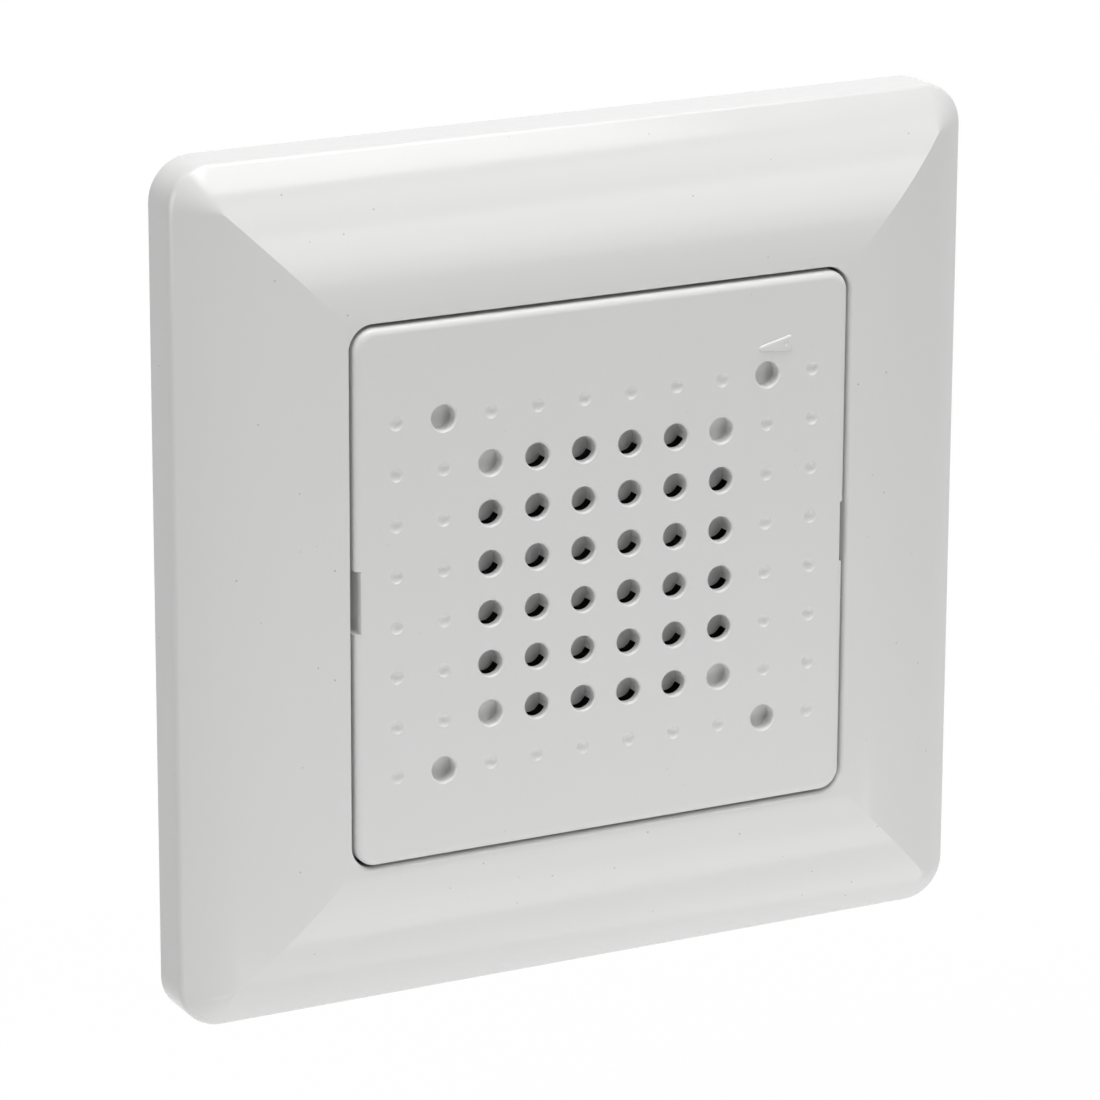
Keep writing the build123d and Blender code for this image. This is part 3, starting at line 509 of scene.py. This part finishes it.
class CHIME_OT_frame(PieceOperator, bpy.types.Operator):
    """Glossy white finish of the cover frame"""

    bl_idname = "chime.frame"
    bl_label = "Cover Frame"

    def execute(self, context):
        white = plastic("Glossy white", context.scene.chime_tones.frame_white, roughness=0.13,
                        mottle=0.015, haze=0.05, grain_scale=420.0, grain=0.003 * MM, specks=0.4)
        dress(["cover_frame"], white)
        return {"FINISHED"}


class CHIME_OT_cover(PieceOperator, bpy.types.Operator):
    """Satin white finish of the perforated centre cover"""

    bl_idname = "chime.cover"
    bl_label = "Centre Cover"

    def execute(self, context):
        white = plastic("Satin white", context.scene.chime_tones.cover_white, roughness=0.36,
                        mottle=0.015, haze=0.06, grain_scale=2600.0, grain=0.004 * MM, specks=0.15)
        dress(["front_cover"], white)
        return {"FINISHED"}


class CHIME_OT_volume_mark(PieceOperator, bpy.types.Operator):
    """Raised wedge above the recess over the volume spindle, with a pip sunk in its wide end"""

    bl_idname = "chime.volume_mark"
    bl_label = "Volume Mark"

    def execute(self, context):
        sizes = context.scene.chime_mark
        corners = [Vector(place) for place in (
            (sizes.left, sizes.middle - sizes.narrow / 2), (sizes.right, sizes.bottom),
            (sizes.right, sizes.top), (sizes.left, sizes.middle + sizes.narrow / 2))]
        quarter = [math.pi / 2 * step / EDGE_STEPS for step in range(EDGE_STEPS + 1)]

        def wedge_ring(work, inset, lift):
            """Outline of the wedge, drawn inwards, with its corners as arcs."""
            ring = []
            for number, corner in enumerate(corners):
                along = (corner - corners[number - 1]).normalized()
                onward = (corners[(number + 1) % len(corners)] - corner).normalized()
                inward = Vector((-along.y, along.x)) + Vector((-onward.y, onward.x))
                middle = corner + sizes.corner * inward / (1 + along.dot(onward))
                start = math.atan2(-along.x, along.y)
                sweep = math.acos(along.dot(onward))
                reach = sizes.corner - inset
                for step in range(CORNER_STEPS + 1):
                    turn = start + sweep * step / CORNER_STEPS
                    ring.append(work.verts.new((middle.x + reach * math.cos(turn),
                                                middle.y + reach * math.sin(turn), lift)))
            return ring

        def pip_ring(work, radius, lift):
            """Circle of the pip at one height."""
            turns = [2 * math.pi * number / PIP_SIDES for number in range(PIP_SIDES)]
            return [work.verts.new((sizes.pip_x + radius * math.cos(turn),
                                    sizes.pip_z + radius * math.sin(turn), lift))
                    for turn in turns]

        def join(work, outer, inner):
            """Faces between two rings of as many points."""
            for number in range(len(outer)):
                beside = (number + 1) % len(outer)
                work.faces.new((outer[number], outer[beside], inner[beside], inner[number]))

        def build(work):
            """Wedge from its sunk foot up over the rounded edge, and the pip from its rim down."""
            rings = [wedge_ring(work, inset=0.0, lift=-sizes.sunk)]
            rings += [wedge_ring(work, inset=sizes.rounding * (1 - math.cos(turn)),
                                 lift=sizes.height * math.sin(turn)) for turn in quarter]
            dents = [pip_ring(work, radius=sizes.pip_radius * math.cos(turn),
                              lift=sizes.height - sizes.pip_depth * math.sin(turn))
                     for turn in quarter[:-1]]
            for pair in [*zip(rings, rings[1:]), *zip(dents, dents[1:])]:
                join(work, *pair)
            work.faces.new(rings[0])
            work.faces.new(dents[-1])
            flat = [work.edges.get((ring[number - 1], ring[number]))
                    for ring in (rings[-1], dents[0]) for number in range(len(ring))]
            bmesh.ops.triangle_fill(work, edges=flat, use_beauty=True)

        wedge = as_mesh("volume_wedge", build)
        wedge.data.transform(facing_room(cover_front))
        shade_smooth(wedge, angle=50.0)
        wear(wedge, "cover", nodes["front_cover"].data.materials[0])
        return {"FINISHED"}


class CHIME_OT_support_ring(PieceOperator, bpy.types.Operator):
    """Zinc-coated finish of the pressed support ring"""

    bl_idname = "chime.support_ring"
    bl_label = "Support Ring"

    def execute(self, context):
        sheet = metal("Zinc-coated sheet", context.scene.chime_tones.zinc, roughness=0.34,
                      cloud=0.16)
        dress(["support_ring"], sheet)
        return {"FINISHED"}


class CHIME_OT_carrier(PieceOperator, bpy.types.Operator):
    """Black plastic carrier and its zinc-coated screws"""

    bl_idname = "chime.carrier"
    bl_label = "Carrier"

    def execute(self, context):
        tones = context.scene.chime_tones
        black = plastic("Black plastic", tones.carrier_black, roughness=0.46, mottle=0.1, haze=0.1,
                        grain_scale=1900.0, grain=0.01 * MM)
        dress(["insert_carrier"], black)
        dress(["carrier_screws"], metal("Bright zinc", tones.zinc, roughness=0.24, cloud=0.15))
        return {"FINISHED"}


class CHIME_OT_housing(PieceOperator, bpy.types.Operator):
    """Dark grey housing that goes into the wall box"""

    bl_idname = "chime.housing"
    bl_label = "Rear Housing"

    def execute(self, context):
        grey = plastic("Dark grey plastic", context.scene.chime_tones.housing_grey, roughness=0.5,
                       mottle=0.07, haze=0.1, grain_scale=1500.0, grain=0.014 * MM)
        dress(["rear_housing"], grey)
        return {"FINISHED"}


class CHIME_OT_loudspeaker(PieceOperator, bpy.types.Operator):
    """Basket, magnet system, cone and leads of the loudspeaker"""

    bl_idname = "chime.loudspeaker"
    bl_label = "Loudspeaker"

    def execute(self, context):
        tones = context.scene.chime_tones
        lacquer = plastic("Black lacquer", tones.lacquer_black, roughness=0.3, mottle=0.1,
                          haze=0.08, grain_scale=900.0, grain=0.006 * MM, coat=0.3)
        rubber = plastic("Black rubber", tones.rubber_black, roughness=0.55, mottle=0.1, haze=0.1,
                         grain_scale=3000.0, grain=0.006 * MM)
        insulation = plastic("Red insulation", tones.lead_red, roughness=0.32, mottle=0.05,
                             haze=0.05, grain_scale=1200.0, grain=0.003 * MM)
        dress(["speaker_basket"], lacquer)
        dress(["speaker_gasket"], fibre_board("Grey board", tones.gasket_grey, fibre=0.5))
        dress(["front_pole_plate", "speaker_yoke"],
              lathe_metal("Turned steel", tones.zinc, roughness=0.3))
        dress(["speaker_magnet"], fibre_board("Ferrite", tones.ferrite, fibre=0.12, roughness=0.6))
        dress(["speaker_cone", "dust_cap"],
              fibre_board("Black paper", tones.paper_black, fibre=0.22))
        dress(["cone_surround"], rubber)
        dress(["speaker_tag_board"],
              fibre_board("Brown laminate", tones.laminate_brown, fibre=0.35, roughness=0.5))
        dress(["solder_tags"], metal("Tinned brass", tones.tinned, roughness=0.3, cloud=0.3))
        dress(["speaker_leads"], insulation)
        dress(["voice_coil"], self.winding(tones.copper))
        return {"FINISHED"}

    def winding(self, copper):
        """Turns of enamelled wire side by side along Y, with painted shade in the grooves between
        them.
        """
        material, tree, shader = start_material("Wound copper")
        wire = 0.16 * MM
        turn = tree.math("FRACT", tree.math("MULTIPLY", tree.parts()["Y"], 1 / wire))
        crown = tree.math("SINE", tree.math("MULTIPLY", turn, math.pi))
        # Painted shade: the copper between the turns is darkened to a share of its tone, and the
        # crowns keep the full tone.
        painted_groove_shade = [share * GROOVE_PAINTED_SHADE for share in copper]
        tree.feed(shader.inputs["Base Color"], tree.blend(crown, painted_groove_shade, copper))
        shader.inputs["Metallic"].default_value = 0.8
        shader.inputs["Roughness"].default_value = 0.3
        bump(tree, shader, crown, depth=0.05 * MM)
        return material


class CHIME_OT_board(PieceOperator, bpy.types.Operator):
    """Circuit board and the parts soldered to it"""

    bl_idname = "chime.board"
    bl_label = "Circuit Board"

    def execute(self, context):
        tones = context.scene.chime_tones
        epoxy = plastic("Black epoxy", tones.epoxy_black, roughness=0.5, mottle=0.15, haze=0.1,
                        grain_scale=2600.0, grain=0.012 * MM)
        blue = plastic("Blue plastic", tones.trimmer_blue, roughness=0.35, mottle=0.06, haze=0.08,
                       grain_scale=1800.0, grain=0.005 * MM)
        white = plastic("White spindle", tones.spindle_white, roughness=0.38, mottle=0.04,
                        haze=0.08, grain_scale=2000.0, grain=0.005 * MM)
        self.resist(tones)
        dress(["sound_chip", "amplifier_chip"], epoxy)
        self.sleeves(tones)
        self.axial("rectifier_diodes", "Black diode", tones.axial_lead, tones.diode_black)
        self.axial("board_resistors", "Ringed resistor", tones.axial_lead, tones.resistor_tan,
                   rings={"Spacing": 0.7 * MM, "Width": 0.14 * MM}, ring_tone=tones.resistor_ring)
        dress(["trimmer_body"], blue)
        dress(["volume_spindle"], white)
        return {"FINISHED"}

    def resist(self, tones):
        """Green solder resist over copper tracks and glass weave."""
        material, tree, shader = start_material("Green resist")
        tracks = use(tree, "tracks", {"Scale": 330.0, "Width": 0.12})
        mask, weave = tracks.outputs["Mask"], tracks.outputs["Weave"]
        green = tones.board_green
        over_track = [share * TRACK_TONE for share in green]
        tree.feed(shader.inputs["Base Color"], tree.blend(mask, green, over_track))
        tree.feed(shader.inputs["Roughness"],
                  tree.ramp(weave, low=0.3, high=0.7, to_low=0.28, to_high=0.4))
        height = tree.math("ADD", mask, tree.math("MULTIPLY", weave, WEAVE_HEIGHT))
        bump(tree, shader, height, depth=0.03 * MM)
        dress(["circuit_board"], material)

    def sleeves(self, tones):
        """Dark sleeve with a pale stripe, and bare aluminium on the end, for the capacitors."""
        material, tree, shader = start_material("Sleeved can")
        parts = tree.parts()
        low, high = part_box("electrolytic_capacitors")
        stripe_edge = (low.x + high.x) / 2 - 2.4 * MM
        end_face = low.y + 0.06 * MM
        stripe = tree.math("LESS_THAN", parts["X"], stripe_edge)
        sleeve = tree.blend(stripe, tones.sleeve_blue, tones.sleeve_stripe)
        top = tree.math("LESS_THAN", parts["Y"], end_face)
        tree.feed(shader.inputs["Base Color"], tree.blend(top, sleeve, tones.can_end))
        tree.feed(shader.inputs["Metallic"], top)
        grain = tree.noise(tree.place(), scale=1800.0)
        tree.feed(shader.inputs["Roughness"],
                  tree.ramp(grain, low=0.3, high=0.7, to_low=0.22, to_high=0.34))
        bump(tree, shader, grain, depth=0.004 * MM)
        dress(["electrolytic_capacitors"], material)

    def axial(self, name, label, lead_tone, body_tone, rings=None, ring_tone=None):
        """Axial parts with tinned wire at their ends, and rings round their bodies if given."""
        material, tree, shader = start_material(label)
        low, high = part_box(name)
        centre = (low.x + high.x) / 2
        bare_from = (high.x - low.x) / 2 - 0.9 * MM
        body = body_tone
        if rings:
            ring = use(tree, "bands", {"Middle": centre, **rings})
            body = tree.blend(ring.outputs["Mask"], body_tone, ring_tone)
        away = tree.math("ABSOLUTE", tree.math("SUBTRACT", tree.parts()["X"], centre))
        lead = tree.math("GREATER_THAN", away, bare_from)
        tree.feed(shader.inputs["Base Color"], tree.blend(lead, body, lead_tone))
        tree.feed(shader.inputs["Metallic"], lead)
        grain = tree.noise(tree.place(), scale=2200.0)
        tree.feed(shader.inputs["Roughness"],
                  tree.ramp(grain, low=0.3, high=0.7, to_low=0.28, to_high=0.42))
        bump(tree, shader, grain, depth=0.006 * MM)
        dress([name], material)


class CHIME_OT_terminals(PieceOperator, bpy.types.Operator):
    """Terminal block with its pins, clamp cages and screws"""

    bl_idname = "chime.terminals"
    bl_label = "Terminals"

    def execute(self, context):
        tones = context.scene.chime_tones
        grey = plastic("Light grey plastic", tones.terminal_grey, roughness=0.4, mottle=0.05,
                       haze=0.1, grain_scale=1700.0, grain=0.007 * MM)
        dress(["terminal_block"], grey)
        dress(["terminal_pins"], metal("Nickel pins", tones.nickel, roughness=0.25))
        dress([name for name in nodes if name.startswith("terminal_cage")],
              metal("Nickel cages", tones.nickel, roughness=0.3, cloud=0.25))
        for name in sorted(name for name in nodes if name.startswith("terminal_screw")):
            low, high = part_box(name)
            axis = ((low.x + high.x) / 2, (low.z + high.z) / 2)
            dress([name], lathe_metal(f"Steel {name}", tones.zinc, roughness=0.3, axis=axis))
        return {"FINISHED"}


class CHIME_OT_stage(PieceOperator, bpy.types.Operator):
    """Pale floor, soft light and the camera"""

    bl_idname = "chime.stage"
    bl_label = "Stage"

    def execute(self, context):
        sizes = context.scene.chime_studio
        self.floor(sizes)
        self.surround(context, sizes)
        self.lamps(context)
        self.camera(context, sizes)
        context.scene.view_settings.view_transform = "Standard"
        return {"FINISHED"}

    def seen(self, tree):
        """One for the rays that show the background, none for those that light the chime."""
        rays = tree.node("ShaderNodeLightPath")
        through = tree.math("MAXIMUM", rays.outputs["Is Glossy Ray"],
                            rays.outputs["Is Transmission Ray"])
        return tree.math("MAXIMUM", rays.outputs["Is Camera Ray"], through)

    def floor(self, sizes):
        """Pale floor that the camera sees as white, with a faint shadow near its middle."""
        half = sizes.floor_side / 2
        level = frame_bottom - sizes.floor_drop

        def build(work):
            corners = [(-half, -half), (half, -half), (half, half), (-half, half)]
            work.faces.new([work.verts.new((x, y, level)) for x, y in corners])

        floor = as_mesh("studio_floor", build)
        material = bpy.data.materials.new("Pale floor")
        material.use_nodes = True
        material.node_tree.nodes.clear()
        tree = Tree(material.node_tree)
        cloud = tree.noise(tree.place(), scale=9.0, detail=3.0)
        mottle = tree.math("MULTIPLY", cloud, FLOOR_MOTTLE)
        colour = tree.blend(mottle, sizes.floor_tone, FLOOR_CLOUD)
        matt = tree.node("ShaderNodeBsdfDiffuse", {"Color": colour})
        white = tree.node("ShaderNodeEmission", {"Color": WHITE, "Strength": 1.0})
        away = tree.node("ShaderNodeVectorMath", {0: tree.place()}, operation="LENGTH")
        plain = tree.ramp(away.outputs["Value"], sizes.floor_near, sizes.floor_far,
                          to_low=0.95, to_high=1.0)
        share = tree.math("MULTIPLY", self.seen(tree), plain)
        both = tree.node("ShaderNodeMixShader", {0: share, 1: matt.outputs[0],
                                                 2: white.outputs[0]})
        out = tree.node("ShaderNodeOutputMaterial")
        tree.feed(out.inputs["Surface"], both.outputs[0])
        floor.data.materials.append(material)

    def surround(self, context, sizes):
        """White background for the camera, and a soft grey surround as light."""
        world = bpy.data.worlds.new("Studio")
        context.scene.world = world
        world.use_nodes = True
        world.node_tree.nodes.clear()
        tree = Tree(world.node_tree)
        direction = tree.node("ShaderNodeTexCoord").outputs["Generated"]
        parts = tree.node("ShaderNodeSeparateXYZ", {"Vector": direction})
        upward = tree.ramp(parts.outputs["Z"], low=-0.4, high=0.9, to_low=0.8, to_high=1.2)
        glow = tree.math("MULTIPLY", upward, sizes.sky)
        light = tree.node("ShaderNodeBackground", {"Color": WHITE, "Strength": glow})
        white = tree.node("ShaderNodeBackground", {"Color": WHITE, "Strength": 1.0})
        both = tree.node("ShaderNodeMixShader", {0: self.seen(tree), 1: light.outputs[0],
                                                 2: white.outputs[0]})
        out = tree.node("ShaderNodeOutputWorld")
        tree.feed(out.inputs["Surface"], both.outputs[0])

    def lamps(self, context):
        """Rectangular lamps all round, hidden from the camera."""
        for name, place, target, (width, height), power in LAMPS:
            lamp = bpy.data.lights.new(name, "AREA")
            lamp.shape = "RECTANGLE"
            lamp.size = width
            lamp.size_y = height
            lamp.energy = power
            holder = bpy.data.objects.new(name, lamp)
            holder.location = place
            beam = Vector(target) - Vector(place)
            holder.rotation_euler = beam.to_track_quat("-Z", "Y").to_euler()
            holder.visible_camera = False
            context.scene.collection.objects.link(holder)

    def camera(self, context, sizes):
        """Camera at the photograph's angle."""
        lens = bpy.data.cameras.new("Camera")
        lens.sensor_width = sizes.sensor
        lens.lens = sizes.lens
        lens.clip_start = 0.01
        lens.clip_end = 20.0
        holder = bpy.data.objects.new("Camera", lens)
        context.scene.collection.objects.link(holder)
        ahead = Vector((math.sin(sizes.azimuth) * math.cos(sizes.elevation),
                        math.cos(sizes.azimuth) * math.cos(sizes.elevation),
                        -math.sin(sizes.elevation)))
        level = Vector((math.cos(sizes.azimuth), -math.sin(sizes.azimuth), 0.0))
        above = level.cross(ahead)
        right = math.cos(sizes.roll) * level + math.sin(sizes.roll) * above
        top = math.cos(sizes.roll) * above - math.sin(sizes.roll) * level
        middle = Vector((0.0, cover_front, 0.0))
        place = middle - sizes.distance * ahead + sizes.aside * level + sizes.upwards * above
        turn = Matrix((right, top, -ahead)).transposed().to_4x4()
        holder.matrix_world = Matrix.Translation(place) @ turn
        context.scene.camera = holder


OPERATORS = (CHIME_OT_frame, CHIME_OT_cover, CHIME_OT_volume_mark, CHIME_OT_support_ring,
             CHIME_OT_carrier, CHIME_OT_housing, CHIME_OT_loudspeaker, CHIME_OT_board,
             CHIME_OT_terminals, CHIME_OT_stage)


class CHIME_PT_sidebar(bpy.types.Panel):
    """Sizes, colours and pieces of the chime"""

    bl_idname = "CHIME_PT_sidebar"
    bl_label = "Flush Door Chime"
    bl_space_type = "VIEW_3D"
    bl_region_type = "UI"
    bl_category = "Chime"

    def draw(self, context):
        layout = self.layout
        scene = context.scene
        for group in (scene.chime_tones, scene.chime_mark, scene.chime_studio):
            column = layout.column(align=True)
            for key in group.bl_rna.properties.keys():
                if key not in ("rna_type", "name"):
                    column.prop(group, key)
        for operator in OPERATORS:
            layout.operator(operator.bl_idname)


CLASSES = (ChimeTones, MarkSizes, StudioSizes, *OPERATORS, CHIME_PT_sidebar)


def register():
    for made in CLASSES:
        bpy.utils.register_class(made)
    bpy.types.Scene.chime_tones = PointerProperty(type=ChimeTones)
    bpy.types.Scene.chime_mark = PointerProperty(type=MarkSizes)
    bpy.types.Scene.chime_studio = PointerProperty(type=StudioSizes)


def unregister():
    del bpy.types.Scene.chime_studio
    del bpy.types.Scene.chime_mark
    del bpy.types.Scene.chime_tones
    for made in reversed(CLASSES):
        bpy.utils.unregister_class(made)


def main():
    """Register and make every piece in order."""
    register()
    effects.update(make_effects())
    for operator in OPERATORS:
        group, name = operator.bl_idname.split(".")
        getattr(getattr(bpy.ops, group), name)()


if __name__ == "__main__":
    main()
